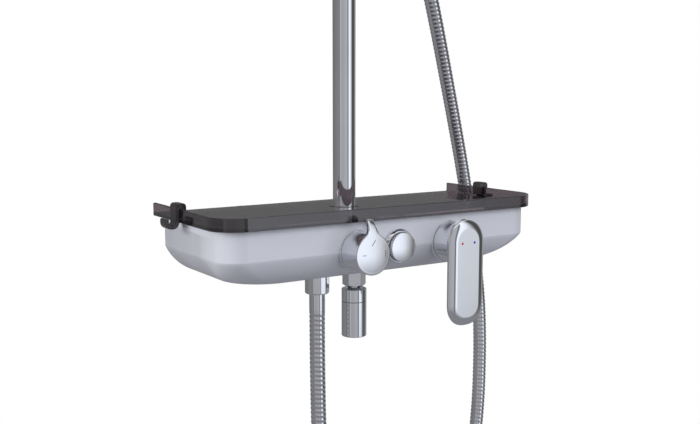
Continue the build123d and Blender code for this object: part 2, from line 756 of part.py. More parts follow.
def hose_top_ferrule():
    """Smooth sleeve crimped over the upper end of the hose."""
    sleeve = rod(HOSE_R, (0, 0, -HOSE_END_BELOW_CUP), (0, 0, -36))
    sleeve += rod(8.5, (0, 0, -36), (0, 0, -34))
    return in_cup(sleeve - rod(4, (0, 0, -HOSE_END_BELOW_CUP - 1), (0, 0, -33)))


# Hand shower


def on_face(shape):
    """Place a shape made with its spray side towards -Z on the hand shower's head."""
    return in_cup(Pos(0, -8, FACE_Z) * Rot(-90 + FACE_TILT, 0, 0) * shape)


def handset_shell():
    """Handle and head of the hand shower in one chrome shell."""
    handle = turned([(0, -19.3), (11.6, -19.3), (13.8, 17), (12.2, 30), (11.6, HANDLE_TOP), (0, HANDLE_TOP)])
    handle -= rod(8.5, (0, 0, -20), (0, 0, -6))
    handle -= rod(7, (0, 0, -6), (0, 0, HANDLE_TOP - 10))
    edge = HANDSET_HEAD_R
    head = turned([(0, 13), (20, 12), (edge - 4, 6), (edge, 1), (edge, -6), (0, -6)])
    head -= rod(HANDSET_HEAD_R - 3, (0, 0, -7), (0, 0, 2))
    neck = rod(11.6, (0, 0, HANDLE_TOP - 8), (0, 0, FACE_Z - 20))
    shell = in_cup(handle + neck)
    shell -= on_face(rod(HANDSET_HEAD_R - 3, (0, 0, -40), (0, 0, 2)))
    return shell + on_face(head)


def handset_face():
    """White spray plate of the hand shower."""
    plate = rod(HANDSET_HEAD_R - 3.2, (0, 0, -7.4), (0, 0, 1.8))
    plate = fillet(plate.edges().group_by(Axis.Z)[0], 0.8)
    return on_face(plate - rod(HANDSET_HEAD_R - 6, (0, 0, -4.4), (0, 0, 2)))


def nozzle_places(rings):
    """Places of nozzles in concentric rings, given as (radius, count) pairs."""
    places = []
    for radius, count in rings:
        for step in range(count):
            angle = 2 * pi * step / count
            places.append((radius * cos(angle), radius * sin(angle)))
    return places


def handset_nozzles():
    """Soft spray nozzles of the hand shower."""
    nozzles = []
    for x, y in nozzle_places([(10, 6), (19, 12), (28, 18), (37, 24)]):
        tip = Solid.make_cone(1.5, 1.0, 1.9, Plane(origin=(x, y, -7.4), z_dir=(0, 0, -1)))
        nozzles.append(on_face(tip))
    return Compound(children=nozzles)


# Overhead arm


def arm_nut():
    """Nut on top of the riser that lets the arm turn."""
    nut = rod(15.5, (0, 0, 912), (0, 0, 944))
    nut = fillet(nut.edges(), 1.5)
    nut -= rod(RISER_R + FIT, (0, 0, 911), (0, 0, RISER_TOP))
    nut -= rod(13, (0, 0, RISER_TOP), (0, 0, 936))
    return Pos(0, RISER_Y, 0) * (nut - rod(RISER_R + FIT, (0, 0, 935), (0, 0, 945)))


def arm_pipe():
    """Curved overhead arm with a collar held in its nut."""
    low = 932.3
    drop = HEAD_NECK_Z + 10
    line = FilletPolyline(
        (0, RISER_Y, low),
        (0, RISER_Y, ARM_LEVEL_Z),
        (0, HEAD_Y, ARM_LEVEL_Z),
        (0, HEAD_Y, drop),
        radius=[ARM_BEND_R, ARM_END_R],
    )
    outer = sweep(Plane(origin=line @ 0, z_dir=line % 0) * Circle(RISER_R), path=line)
    bore = sweep(Plane(origin=line @ 0, z_dir=line % 0) * Circle(RISER_BORE_R), path=line)
    collar = tube(12.8, RISER_BORE_R, (0, RISER_Y, low), (0, RISER_Y, 935.5))
    return outer - bore + collar


# Rain head


def at_head(shape):
    """Move a shape from the Z axis to the rain head's axis."""
    return Pos(0, HEAD_Y, 0) * shape


def head_adaptor():
    """Threaded plug in the arm's end, with the ball of the rain head's joint."""
    plug = rod(RISER_BORE_R - 0.05, (0, 0, HEAD_NECK_Z + 10), (0, 0, HEAD_NECK_Z + 20))
    plug += rod(12.5, (0, 0, HEAD_NECK_Z - 6), (0, 0, HEAD_NECK_Z + 10))
    plug += ball_stud(HEAD_NECK_Z - 5, HEAD_BALL_Z, HEAD_SCALE)
    return at_head(plug - rod(3, (0, 0, HEAD_NECK_Z - 30), (0, 0, HEAD_NECK_Z + 30)))


def head_slip_ring():
    """Plastic ring that turns with the rain head."""
    return at_head(slip_ring(HEAD_BALL_Z, HEAD_SCALE))


def head_shell():
    """Slim round upper shell of the rain head."""
    z = HEAD_TOP_Z
    shell = turned(
        [(7, z + 4), (22, z + 4), (60, z + 1.5), (HEAD_R - 6, z - 1.5), (HEAD_R, z - 4), (HEAD_R, z - 9),
         (HEAD_R - 2, z - 9), (HEAD_R - 2, z - 5), (60, z - 1.5), (7, z + 1)]
    )
    return at_head(shell)


def head_nut():
    """Swivel socket that clamps the rain head on its ball."""
    return at_head(ball_cap(15.5, HEAD_BALL_Z, 978, HEAD_SCALE))


def head_face():
    """Spray plate of the rain head."""
    top = HEAD_FACE_Z + 2.6
    edge = HEAD_R - 2.2
    return at_head(turned([(0, HEAD_FACE_Z), (edge, HEAD_FACE_Z), (edge, top), (0, top)]))


def head_nozzles():
    """Soft spray nozzles of the rain head."""
    nozzles = []
    rings = [(16, 6), (33, 12), (50, 18), (67, 24), (84, 30), (101, 36)]
    for x, y in nozzle_places(rings):
        tip = Solid.make_cone(1.8, 1.2, 2.2, Plane(origin=(x, y, HEAD_FACE_Z), z_dir=(0, 0, -1)))
        nozzles.append(at_head(tip))
    return Compound(children=nozzles)


# Shower hose


def bend_radii(route):
    """Radius of the arc at each inner point: 0.45 of the shorter run over the tangent of half the turn."""
    radii = []
    for before, here, after in zip(route, route[1:], route[2:]):
        run_in = Vector(*here) - Vector(*before)
        run_out = Vector(*after) - Vector(*here)
        half_turn = radians(run_in.get_angle(run_out)) / 2
        radii.append(0.45 * min(run_in.length, run_out.length) / tan(half_turn))
    return radii


def below_cup(distance):
    """Point on the cup's axis, this far below the middle of the cup."""
    place = in_cup(Pos(0, 0, -distance) * Sphere(1)).center()
    return (place.X, place.Y, place.Z)


def hose_tube(route):
    """Tube of the hose along one route, with its radii and length printed."""
    radii = bend_radii(route)
    line = FilletPolyline(*route, radius=radii)
    solid = sweep(Plane(origin=line @ 0, z_dir=line % 0) * Circle(HOSE_R), path=line)
    print("radii", [round(r) for r in radii])
    print("length", round(line.length, 1), "volume over section", round(solid.volume / (pi * HOSE_R**2), 1))
    return solid


def shower_hose():
    """Main length of the hose, from its lower ferrule to near the hand shower."""
    return hose_tube(HOSE_ROUTE)


def shower_hose_tail():
    """Last length of the hose, up to the hand shower's ferrule."""
    straight = 46
    end = HOSE_END_BELOW_CUP
    return hose_tube(TAIL_ROUTE + [below_cup(end + straight), below_cup(end)])


PAIRED_PARTS = {
    "inlet_unions": inlet_union,
    "escutcheons": escutcheon,
    "union_nuts": union_nut,
}

SINGLE_PARTS = [
    body_shell, back_plate, cover_screws, valve_block, rubber_seals,
    shelf_tray, hook_left, hook_right,
    diverter_base, diverter_cartridge, diverter_knob,
    button_bezel, button_valve, button_spring, button_cap,
    lever_base, lever_cartridge, cartridge_nut, lever_yoke, lift_pin, lever_handle,
    spout_adaptor, spout_slip_ring, spout_cap, aerator_sleeve, aerator_insert,
    riser_pipe, riser_grommet, bracket_flange, bracket_screws, bracket_cover, bracket_arm,
    slider_body, slider_bush, slider_knob, holder_cup, holder_pin, cup_liner,
    handset_shell, handset_face, handset_nozzles,
    arm_nut, arm_pipe, head_adaptor, head_slip_ring, head_nut, head_shell, head_face, head_nozzles,
    hose_nut, hose_ferrule, hose_cone, hose_top_ferrule, shower_hose, shower_hose_tail,
]

for name, make in PAIRED_PARTS.items():
    save(both_sides(make()), name)
for make in SINGLE_PARTS:
    save(make(), make.__name__)
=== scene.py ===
"""Rainfall shower column: the visual model, in the same frame as its CAD parts."""

import json
import math

import bmesh
import bpy
from mathutils import Matrix, Vector


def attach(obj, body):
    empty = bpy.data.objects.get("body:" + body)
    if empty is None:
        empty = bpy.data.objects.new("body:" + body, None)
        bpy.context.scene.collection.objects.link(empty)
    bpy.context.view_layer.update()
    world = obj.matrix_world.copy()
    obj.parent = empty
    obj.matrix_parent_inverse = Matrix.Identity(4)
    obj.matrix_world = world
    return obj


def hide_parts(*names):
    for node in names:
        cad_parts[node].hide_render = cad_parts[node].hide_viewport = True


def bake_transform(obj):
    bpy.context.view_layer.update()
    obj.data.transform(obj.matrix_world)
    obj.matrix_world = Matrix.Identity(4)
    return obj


MM = 0.001
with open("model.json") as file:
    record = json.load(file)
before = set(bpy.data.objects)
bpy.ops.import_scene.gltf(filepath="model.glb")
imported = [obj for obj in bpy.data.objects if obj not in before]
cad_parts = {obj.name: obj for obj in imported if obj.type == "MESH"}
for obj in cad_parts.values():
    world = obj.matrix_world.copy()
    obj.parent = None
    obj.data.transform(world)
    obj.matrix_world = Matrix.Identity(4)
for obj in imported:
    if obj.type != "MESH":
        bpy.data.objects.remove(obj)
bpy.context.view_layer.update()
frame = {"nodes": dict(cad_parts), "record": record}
record = frame["record"]
SLOT_OF = {s["node"]: s["material_slot"] for s in record["subparts"]}
BODY_OF = {n: b for b, nodes in record["behaviour"]["bodies"].items() for n in nodes}

# Dimensions, in millimetres
FRONT = -158.5
BODY_HALF = 168.5
BODY_BACK = -32.6
BODY_CORNER = 22
CREASE_Z = -1
BELLY_R = 49.3
BELLY_RISE = 20.7
BELLY_REACH = 44.7
SHELF_HALF = 175
SHELF_FRONT = -165
SHELF_CORNER = 27.4
SHELF_BACK = -22
HOOK_Y = -76.5
HOOK_REACH = 6.5
DIVERTER_X = -40.7
KNOB_R = 17.9
KNOB_RIM = 26.4
KNOB_DOME = 1.2
BUTTON_X = 5
BUTTON_R = 13.4
BUTTON_FACE_R = 12.8
BUTTON_FACE = 8.45
BUTTON_DOME = 1.0
LEVER_X = 62.3
HUB_R = 19
SEAM_Z = -9
SEAM_GAP = 0.4
DOT_Z = 1.9
RISER_Y = -75.5
RISER_R = 11
RISER_BORE = 9.6
RISER_TOP = 930
SPOUT_Y = -93
SPOUT_BALL_Z = -58
NUT_TOP = -29.0
HOSE_X = -42
HOSE_R = 7.5
HOSE_PITCH = 4.5
HOSE_GROOVE = 0.42
INLET_X = 75
BRACKET_Z = 880
SLIDER_Z = 600
ARM_Z = 1090
HEAD_Y = -480
HEAD_BALL_Z = 996
HEAD_BALL_SCALE = 1.15
HEAD_FACE_Z = 965


# Materials
def noise(tree, scale, detail=3.0):
    """A noise texture on the piece's own coordinates."""
    place = tree.nodes.new("ShaderNodeTexCoord")
    texture = tree.nodes.new("ShaderNodeTexNoise")
    texture.inputs["Scale"].default_value = scale
    texture.inputs["Detail"].default_value = detail
    tree.links.new(place.outputs["Object"], texture.inputs["Vector"])
    return texture.outputs["Fac"]


def ramp(tree, value, stops):
    """A colour ramp with (place, colour) stops."""
    node = tree.nodes.new("ShaderNodeValToRGB")
    tree.links.new(value, node.inputs["Fac"])
    elements = node.color_ramp.elements
    while len(elements) < len(stops):
        elements.new(0.5)
    for element, (place, colour) in zip(elements, stops):
        element.position = place
        element.color = (*colour, 1)
    return node.outputs["Color"]


def shade(colour, factor):
    """The colour made lighter or darker."""
    return tuple(min(1.0, c * factor) for c in colour)


def finish(slot, colour, rough, metallic=0.0, grain=90, relief=0.02, spread=0.05, wear=0.0, **sockets):
    """A principled material with mottled colour, uneven roughness, fine relief and worn edges."""
    material = bpy.data.materials.new(slot)
    material.use_nodes = True
    tree = material.node_tree
    shader = tree.nodes["Principled BSDF"]
    shader.inputs["Metallic"].default_value = metallic
    for name, value in sockets.items():
        shader.inputs[name.replace("_", " ")].default_value = value
    mottle = noise(tree, grain * 0.25)
    edge = tree.nodes.new("ShaderNodeNewGeometry").outputs["Pointiness"]
    worn = ramp(tree, edge, [(0.5, (0, 0, 0)), (0.6, (wear, wear, wear))])
    total = tree.nodes.new("ShaderNodeMath")
    total.operation = "ADD"
    tree.links.new(mottle, total.inputs[0])
    tree.links.new(worn, total.inputs[1])
    low = shade(colour, 1 - spread)
    high = shade(colour, 1 + spread)
    tint = ramp(tree, total.outputs["Value"], [(0.3, low), (0.7, high)])
    tree.links.new(tint, shader.inputs["Base Color"])
    smear = tree.nodes.new("ShaderNodeMapRange")
    smear.inputs["To Min"].default_value = rough[0]
    smear.inputs["To Max"].default_value = rough[1]
    smear.inputs["From Min"].default_value = 0.3
    smear.inputs["From Max"].default_value = 0.7
    tree.links.new(noise(tree, grain, 6.0), smear.inputs["Value"])
    tree.links.new(smear.outputs["Result"], shader.inputs["Roughness"])
    bump = tree.nodes.new("ShaderNodeBump")
    bump.inputs["Strength"].default_value = relief
    bump.inputs["Distance"].default_value = 0.0004
    tree.links.new(noise(tree, grain * 5, 4.0), bump.inputs["Height"])
    tree.links.new(bump.outputs["Normal"], shader.inputs["Normal"])
    return material


CHROME = (0.86, 0.87, 0.9)
MATERIALS = {
    "chrome": finish("chrome", CHROME, (0.03, 0.07), 1.0, grain=60, relief=0.02, spread=0.03, wear=0.1),
    "chromed_plastic": finish(
        "chromed_plastic", (0.84, 0.85, 0.88), (0.04, 0.09), 1.0, grain=50, relief=0.03, spread=0.03, wear=0.1
    ),
    "hose_metal": finish("hose_metal", (0.8, 0.8, 0.83), (0.1, 0.18), 1.0, grain=140, spread=0.06, wear=0.2),
    "brass": finish("brass", (0.72, 0.5, 0.24), (0.22, 0.4), 1.0, grain=120, relief=0.1, spread=0.12),
    "steel": finish("steel", (0.56, 0.56, 0.57), (0.2, 0.36), 1.0, grain=160, relief=0.08, spread=0.1),
    "white_plastic": finish(
        "white_plastic", (0.77, 0.785, 0.86), (0.22, 0.27), grain=70, relief=0.02, spread=0.01,
        Coat_Weight=0.3,
        Coat_Roughness=0.2
    ),
    "smoked_plastic": finish(
        "smoked_plastic", (0.115, 0.09, 0.105), (0.01, 0.03), grain=60, relief=0.01, spread=0.1,
        Transmission_Weight=0.93, IOR=1.45, Coat_Weight=0.7, Coat_IOR=1.8, Coat_Roughness=0.02
    ),
    "smoked_clip": finish(
        "smoked_clip", (0.06, 0.05, 0.055), (0.05, 0.1), grain=60, relief=0.02, spread=0.1,
        Transmission_Weight=0.6, IOR=1.45, Coat_Weight=0.3
    ),
    "black_rubber": finish("black_rubber", (0.02, 0.02, 0.021), (0.45, 0.65), grain=200, relief=0.2,
                           spread=0.2),
    "grey_plastic": finish("grey_plastic", (0.3, 0.3, 0.31), (0.35, 0.5), grain=150, relief=0.1, spread=0.08),
    "ceramic_plastic": finish("ceramic_plastic", (0.55, 0.54, 0.5), (0.3, 0.45), grain=140, relief=0.08),
    "soft_nozzle": finish("soft_nozzle", (0.42, 0.43, 0.45), (0.45, 0.6), grain=260, relief=0.15,
                          spread=0.06),
    "mark_grey": finish("mark_grey", (0.09, 0.09, 0.1), (0.35, 0.5), grain=300, relief=0.05, spread=0.15),
    "mark_red": finish("mark_red", (0.62, 0.03, 0.04), (0.3, 0.45), grain=300, relief=0.05, spread=0.12),
    "mark_blue": finish("mark_blue", (0.03, 0.09, 0.5), (0.3, 0.45), grain=300, relief=0.05, spread=0.12),
}


# Shapes: (points, faces) in millimetres
def rounded(points, closed=False, steps=6):
    """Points of a line whose corners carry a radius as a third value."""
    line = []
    count = len(points)
    for index, point in enumerate(points):
        here = Vector(point[:2])
        radius = point[2] if len(point) > 2 else 0
        if not radius or (not closed and index in (0, count - 1)):
            line.append(tuple(here))
            continue
        back = (Vector(points[index - 1][:2]) - here).normalized()
        ahead = (Vector(points[(index + 1) % count][:2]) - here).normalized()
        half = back.angle(ahead) / 2
        middle = here + (back + ahead).normalized() * radius / math.sin(half)
        first = here + back * radius / math.tan(half) - middle
        last = here + ahead * radius / math.tan(half) - middle
        turn = math.atan2(first.x * last.y - first.y * last.x, first.dot(last))
        start = math.atan2(first.y, first.x)
        for step in range(steps + 1):
            angle = start + turn * step / steps
            line.append((middle.x + radius * math.cos(angle), middle.y + radius * math.sin(angle)))
    return line


def loft(rows, around=True, along=False, caps=True):
    """Skin over rows of points; around closes each row, along joins the last row to the first."""
    count = len(rows[0])
    points = [tuple(p) for row in rows for p in row]
    faces = []
    for i in range(len(rows) if along else len(rows) - 1):
        a = i * count
        b = (i + 1) % len(rows) * count
        for j in range(count if around else count - 1):
            k = (j + 1) % count
            faces.append((a + j, a + k, b + k, b + j))
    if caps and not along:
        faces.append(tuple(range(count)))
        faces.append(tuple(range(len(points) - count, len(points))))
    return points, faces


def polar(radius, height, sides=96):
    """Ring round Z; radius and height are numbers or functions of the angle."""
    ring = []
    for side in range(sides):
        angle = 2 * math.pi * side / sides
        r = radius(angle) if callable(radius) else radius
        z = height(angle) if callable(height) else height
        ring.append((r * math.cos(angle), r * math.sin(angle), z))
    return ring


def lathe(profile, sides=96, closed=False):
    """Solid of revolution round Z from a (radius, height) profile with optional corner radii."""
    rings = [polar(r, z, sides) for r, z in rounded(profile, closed)]
    return loft(rings, along=closed)


def moved(shape, place):
    """The shape under a matrix."""
    points, faces = shape
    return [tuple(place @ Vector(p)) for p in points], faces


def at(x, y, z):
    """A plain shift."""
    return Matrix.Translation((x, y, z))


def ahead_of_body(x, z=0):
    """Local Z points out of the housing's front, and local Y up."""
    return at(x, FRONT, z) @ Matrix.Rotation(math.radians(90), 4, "X")


def from_wall(x, z):
    """Local Z points out of the wall."""
    return at(x, 0, z) @ Matrix.Rotation(math.radians(90), 4, "X")


ALONG_X = Matrix.Rotation(math.radians(90), 4, "Y")
SLIDER = at(0, RISER_Y, SLIDER_Z) @ Matrix.Rotation(math.radians(20), 4, "Z")
PIVOT = SLIDER @ at(0, -33, 0) @ Matrix.Rotation(math.radians(12), 4, "X")
CUP = PIVOT @ at(0, -29.5, 0)
FACE = CUP @ at(0, -8, 186) @ Matrix.Rotation(math.radians(-72), 4, "X")
SPOUT = at(0, SPOUT_Y, 0)
HEAD = at(0, HEAD_Y, 0)


def piece(name, shapes, node=None, place=None, bevel=0.0, material=None, sharp=34, body=None):
    """Make one object from shapes, with its material and its body; the CAD node that it stands for is hidden.
    """
    points = []
    faces = []
    for shape in shapes if isinstance(shapes, list) else [shapes]:
        start = len(points)
        points += shape[0]
        faces += [tuple(i + start for i in face) for face in shape[1]]
    mesh = bpy.data.meshes.new(name)
    mesh.from_pydata(points, [], faces)
    mesh.transform(Matrix.Scale(MM, 4) @ (place or Matrix()))
    bm = bmesh.new()
    bm.from_mesh(mesh)
    bmesh.ops.remove_doubles(bm, verts=bm.verts, dist=1e-7)
    bmesh.ops.recalc_face_normals(bm, faces=bm.faces)
    bm.to_mesh(mesh)
    bm.free()
    mesh.shade_smooth()
    mesh.set_sharp_from_angle(angle=math.radians(sharp))
    slot = SLOT_OF[node] if node else "chrome"
    mesh.materials.append(MATERIALS[material or slot])
    thing = bpy.data.objects.new(name, mesh)
    bpy.context.scene.collection.objects.link(thing)
    if bevel:
        rounding = thing.modifiers.new("rounding", "BEVEL")
        rounding.width = bevel * MM
        rounding.segments = 3
        rounding.angle_limit = math.radians(40)
    weighted = thing.modifiers.new("normals", "WEIGHTED_NORMAL")
    weighted.keep_sharp = not bevel
    if node:
        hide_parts(node)
    if body or node:
        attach(thing, body or BODY_OF[node])
    return thing


# CAD nodes that stay: inner parts, finished by their slot
for node_name, node_object in sorted(frame["nodes"].items()):
    node_object.data.materials.clear()
    node_object.data.materials.append(MATERIALS[SLOT_OF[node_name]])


# Housing
def front_path(half, front, corner, back, z, steps=14):
    """Three sides of a box seen from above: the two ends and the rounded front."""
    path = [(-half, back, z)]
    for side in (-1, 1):
        for step in range(steps + 1):
            angle = math.pi * (1.25 + 0.25 * side) + math.pi / 2 * step / steps
            x = side * (half - corner) + corner * math.cos(angle)
            path.append((x, front + corner + corner * math.sin(angle), z))
    path.append((half, back, z))
    return path


def housing():
    """Shell with straight sides above its crease and a round belly below it."""
    levels = [(0.6, 26.0), (0, 25.4), (0, 18), (0, 0.0), (0, -0.7)]
    start = math.asin(BELLY_RISE / BELLY_R)
    steps = 30
    for step in range(1, steps + 1):
        angle = start + (math.pi / 2 - start) * step / steps
        inset = BELLY_REACH - BELLY_R * math.cos(angle)
        levels.append((inset, CREASE_Z - (BELLY_R * math.sin(angle) - BELLY_RISE)))
    rows = [front_path(BODY_HALF - i, FRONT + i, BODY_CORNER + 0.5 * i, BODY_BACK, z) for i, z in levels]
    return loft(rows, around=False)


shell = piece("housing", housing(), "body_shell", sharp=60)
thickness = shell.modifiers.new("skin", "SOLIDIFY")
thickness.thickness = 3 * MM
thickness.offset = -1


def shelf():
    """Shelf with a low wall round its front and ends, open at the back."""
    profile = rounded([(0.7, 26.2), (0, 26.2, 0.5), (0, 38, 0.8), (3.4, 38, 0.8), (3.4, 29.2, 0.8),
                       (5, 29.2)])
    rows = [front_path(SHELF_HALF - i, SHELF_FRONT + i, SHELF_CORNER - i, SHELF_BACK, z) for i, z in profile]
    points, faces = loft(rows, around=False)
    count = len(rows[0])
    left = [i * count for i in range(len(rows))]
    right = [i * count + count - 1 for i in range(len(rows))]
    faces.append(tuple(left + right[::-1]))
    return points, faces


piece("shelf", shelf(), "shelf_tray", sharp=60)

HOOK = [
    (168.6, 30.2, 0.8), (168.6, 43.3, 3), (178.5, 43.3, 3), (178.5, 24.2, 3), (184.8, 24.2, 3),
    (184.8, 30.2, 1.4), (188, 30.2, 1.4), (188, 21, 5.5), (175.3, 21, 5.5), (175.3, 38.3, 0.5),
    (171.3, 38.3, 0.5), (171.3, 30.2, 0.8),
]


def hook(side):
    """Saddle over the shelf's end wall with an upturned hook outside it."""
    outline = rounded(HOOK, True)
    return loft([[(side * x, HOOK_Y + reach, z) for x, z in outline] for reach in (-HOOK_REACH, HOOK_REACH)])


piece("hook_clip_left", hook(-1), "hook_left", bevel=0.6, material="smoked_clip")
piece("hook_clip_right", hook(1), "hook_right", bevel=0.6, material="smoked_clip")


# Diverter knob
def base_ring(radius, bore, height):
    """Flat ring against the housing."""
    return lathe([(bore, 0), (radius, 0), (radius, height, 0.7), (bore, height)], 128, True)


piece("diverter_collar", base_ring(18.5, 9, 2.4), "diverter_base", ahead_of_body(DIVERTER_X))


def knob_outline():
    """Disc with straight shoulders running up into a narrow tab."""
    shoulder = [(12.4, 13.0), (10.2, 14.9), (7.4, 17.0), (5.6, 19.0), (4.7, 21.2), (4.1, 24), (3.4, 28),
                (3.0, 29.6),
                (2.3, 30.6), (1.4, 30.95), (0.5, 31)]
    turns = [math.radians(1.5 * step) for step in range(-59, 1)]
    turns += [math.radians(43) * step / 28 for step in range(1, 29)]
    half = [(KNOB_R * math.cos(angle), KNOB_R * math.sin(angle)) for angle in turns] + shoulder
    return half + [(-x, y) for x, y in half[::-1]]


def knob_front(x, y):
    """Distance ahead of the housing of the knob's face: domed, with the tab leaning back."""
    reach = math.hypot(x, y)
    if reach < KNOB_R - 1:
        return KNOB_RIM + KNOB_DOME * (1 - (reach / KNOB_R) ** 2)
    over = reach - KNOB_R + 1
    return KNOB_RIM + 0.13 - 0.1 * over - 0.022 * over**2


def knob_face():
    """Face plate of the knob, with the tab in one piece."""
    outline = knob_outline()
    rows = []
    for scale, drop in ((0.985, 3.0), (1, 2.7), (1, 0.7), (0.996, 0.35), (0.984, 0.12), (0.965, 0)):
        row = []
        for x, y in outline:
            row.append((x * scale, y * scale, knob_front(x, y) - drop + (1 - scale) * 4.4))
        rows.append(row)
    for step in range(1, 15):
        scale = 0.965 * (1 - step / 15)
        rows.append([(x * scale, y * scale, knob_front(x * scale, y * scale)) for x, y in outline])
    return loft(rows)


def thumb_fin():
    """Web behind the tab, down to the knob's side."""
    side = rounded(
        [(23.6, 6), (23.6, 19), (19.4, 29.8, 0.8), (16.4, 30.4, 1.5), (14, 18, 4), (8, 13, 2), (8, 6)], True
    )
    return loft([[(x, y, d) for d, y in side] for x in (-3.3, 3.3)])


barrel = lathe(
    [(8, 2.8), (18, 2.8, 0.4), (18, 22, 0.1), (KNOB_R, KNOB_RIM - 2.75), (8, KNOB_RIM - 2.75)], 160, True
)
piece("knob", [barrel, knob_face(), thumb_fin()], "diverter_knob", ahead_of_body(DIVERTER_X))


def mark(start, end, width):
    """Thin printed tick that follows the knob's dome."""
    a = Vector(start)
    b = Vector(end)
    across = Vector((a.y - b.y, b.x - a.x)).normalized() * width / 2
    rows = []
    for step in range(9):
        middle = a + (b - a) * step / 8
        row = []
        for side, lift in ((1, -0.3), (1, 0.04), (-1, 0.04), (-1, -0.3)):
            p = middle + across * side
            row.append((p.x, p.y, knob_front(p.x, p.y) + lift))
        rows.append(row)
    return loft(rows)


ticks = [((-2.2, 8.2), (1.8, 13.2)), ((-11.6, 0.4), (-8, 0.4)), ((12.2, 3.4), (12.2, -2.4))]
marks = [mark(start, end, 0.55) for start, end in ticks]
piece("knob_marks", marks, None, ahead_of_body(DIVERTER_X), material="mark_grey", body="diverter")


# Push button
bezel = [(13.8, 0), (15.6, 0), (15.6, 0.5), (16.4, 0.8), (16.2, 2.2, 1), (14.6, 4.4, 0.8), (13.8, 4.4, 0.2)]
piece("button_ring", lathe(bezel, 128, True), "button_bezel", ahead_of_body(BUTTON_X))


def ribs(angle):
    """Radius of the button's band, with 36 ribs."""
    return BUTTON_R - 0.45 * (0.5 - 0.5 * math.cos(36 * angle)) ** 0.6


def button():
    """Push button with a ribbed band and a domed face."""
    sides = 288
    band = [
        (11, 0), (13.1, 0), (BUTTON_R, 0.3), (BUTTON_R, 3.3), (ribs, 3.6), (ribs, 7.2), (BUTTON_R, 7.4),
        (BUTTON_R, 7.9),
    ]
    rings = [polar(radius, z, sides) for radius, z in band]
    for step in range(1, 5):
        angle = math.pi / 8 * step
        rings.append(polar(BUTTON_FACE_R + 0.6 * math.cos(angle), 8.0 + 0.45 * math.sin(angle), sides))
    for step in range(1, 14):
        reach = BUTTON_FACE_R * (1 - step / 14)
        rings.append(polar(reach, BUTTON_FACE + BUTTON_DOME * (1 - (reach / BUTTON_FACE_R) ** 2), sides))
    return loft(rings)


piece("button", button(), "button_cap", ahead_of_body(BUTTON_X), sharp=40)


# Lever
piece("lever_collar", base_ring(19.6, 9, 2.6), "lever_base", ahead_of_body(LEVER_X))
ARC_STEPS = 72
FLARE_R = 16.4
FLARE_Z = 6.8
RELIEF_Z = 12


def arc_ring(depth, seam, upper, flare=0.0):
    """Part of the hub's circle above or below the seam, growing towards the plate's top."""
    start = math.asin(seam / HUB_R)
    end = math.pi - start
    if not upper:
        start, end = math.pi - start, 2 * math.pi + start
    ring = []
    for step in range(ARC_STEPS + 1):
        angle = start + (end - start) * step / ARC_STEPS
        reach = HUB_R
        if upper:
            top = FLARE_Z * math.sin(angle) + math.sqrt(FLARE_R**2 - (FLARE_Z * math.cos(angle)) ** 2)
            reach += max(top - HUB_R, 0) * flare
        y = reach * math.sin(angle)
        relief = 5.2 + (y - RELIEF_Z) * 0.48 if upper and y > RELIEF_Z else 0
        ring.append((reach * math.cos(angle), y, max(depth, relief)))
    return ring


def ladder(shape):
    """Close both ends of a symmetric loft with straight strips."""
    points, faces = shape
    for start in (0, len(points) - ARC_STEPS - 1):
        for i in range(ARC_STEPS // 2):
            other = ARC_STEPS - i
            face = [start + i, start + i + 1, start + other - 1, start + other]
            faces.append(tuple(dict.fromkeys(face)))
    return points, faces


HUB_FLARE = [
    (5.3, 0), (5.6, 0), (10, 0), (13, 0), (14.5, 0.03), (16, 0.1), (17.5, 0.22), (19, 0.4), (20.5, 0.65),
    (21.6, 0.88), (22.5, 0.97),
]
hub_rows = [arc_ring(depth, SEAM_Z, True, flare) for depth, flare in HUB_FLARE]
hub = ladder(loft(hub_rows, caps=False))


def stadium(half, low, high, depth, steps=32):
    """Upright outline with a round top and a slightly squarer foot."""
    ring = []
    for centre, way, power in ((high - half, 1, 1.0), (low + half, -1, 0.86)):
        for step in range(steps + 1):
            angle = math.pi * step / steps
            across = way * math.copysign(abs(math.cos(angle)) ** power, math.cos(angle))
            ring.append((half * across, centre + way * half * math.sin(angle) ** power, depth))
    return ring


# Half width, lowest and highest points, and distance ahead of the housing
PLATE = [
    (16.4, -71.6, 18.8, 22.4), (17.4, -72.4, 19.8, 22.6), (18.8, -73.7, 21.2, 23.4),
    (19.9, -74.7, 22.3, 24.6),
    (20.5, -75.3, 22.8, 25.8), (20.7, -75.7, 23, 26.7), (20.5, -75.5, 22.9, 27.3), (20.0, -75.0, 22.5, 27.9),
    (19.2, -74.2, 21.8, 28.5), (18.1, -73.2, 20.8, 29.15), (16.9, -72.0, 19.6, 29.75),
    (15.7, -70.8, 18.3, 30.2),
    (14.5, -69.5, 17.0, 30.52), (13.6, -68.5, 16.1, 30.68), (12.9, -67.8, 15.4, 30.76),
    (12.4, -67.3, 14.9, 30.8),
]
plate = loft([stadium(*row) for row in PLATE])
piece("lever", [hub, plate], "lever_handle", ahead_of_body(LEVER_X), sharp=40)
lower = loft([arc_ring(depth, SEAM_Z - SEAM_GAP, False) for depth in (5, 5.3, 21.5, 21.9)])
disc = lathe([(6, 3), (18.8, 3, 0.3), (18.8, 4.9, 0.3), (6, 4.9)], 128, True)
piece("lever_hub", [lower, disc], "lever_yoke", ahead_of_body(LEVER_X), bevel=0.25)
for colour, x in (("red", -7.3), ("blue", 7.0)):
    dot = lathe([(0.3, 30.5), (1.2, 30.5), (1.2, 30.85), (0.3, 30.85)], 32)
    piece(f"dot_{colour}", moved(dot, at(x, DOT_Z, 0)), None, ahead_of_body(LEVER_X),
          material=f"mark_{colour}",
          body="lever")


